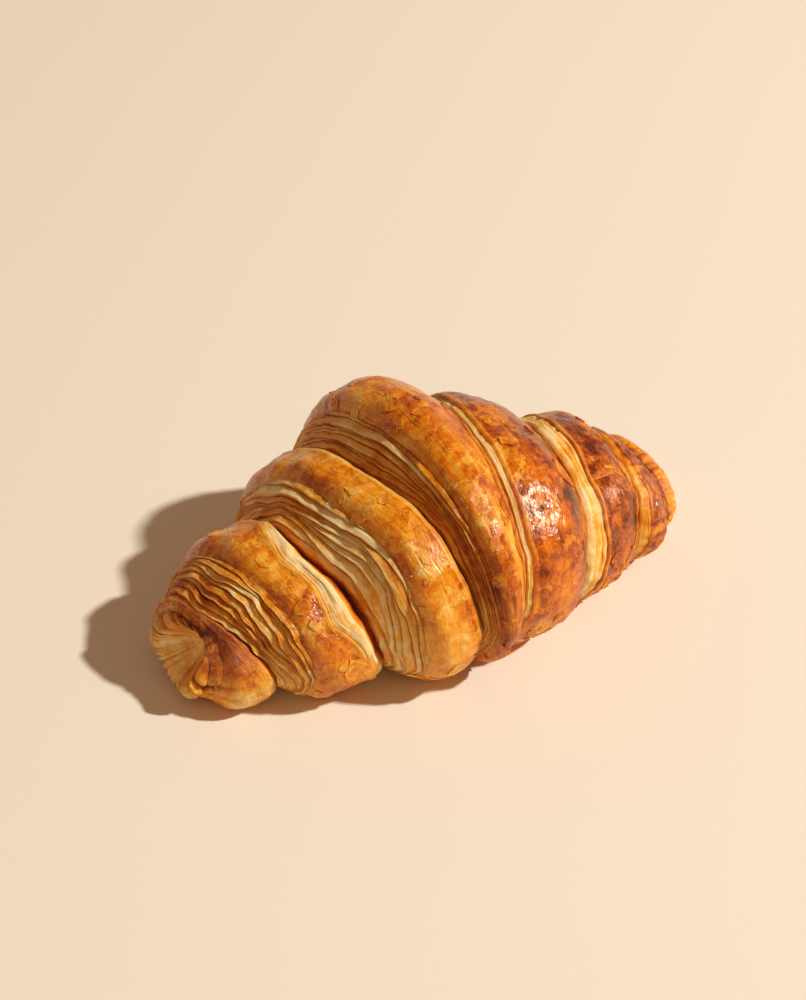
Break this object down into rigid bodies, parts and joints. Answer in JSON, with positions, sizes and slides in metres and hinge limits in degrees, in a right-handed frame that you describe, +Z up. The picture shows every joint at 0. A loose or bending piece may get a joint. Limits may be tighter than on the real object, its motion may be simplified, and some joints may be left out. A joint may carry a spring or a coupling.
{
  "type": "croissant",
  "caption": "Straight butter croissant: a rolled triangle of laminated dough baked in one piece, stepped in wraps from a tall middle down to two blunt ends, flat underneath.",
  "frame": {"origin": "on the table, under the middle of the croissant's bounding box", "axes": "+X along the roll towards the end that stands clear of the table, +Z up, +Y towards the back"},
  "size_m": [0.157, 0.0955, 0.0661],
  "materials": {
    "baked_crust": "egg-washed, glossy on the wraps and matt where the layers show"
  },
  "bodies": {
    "root": {"croissant": "baked_crust"}
  },
  "joints": []
}
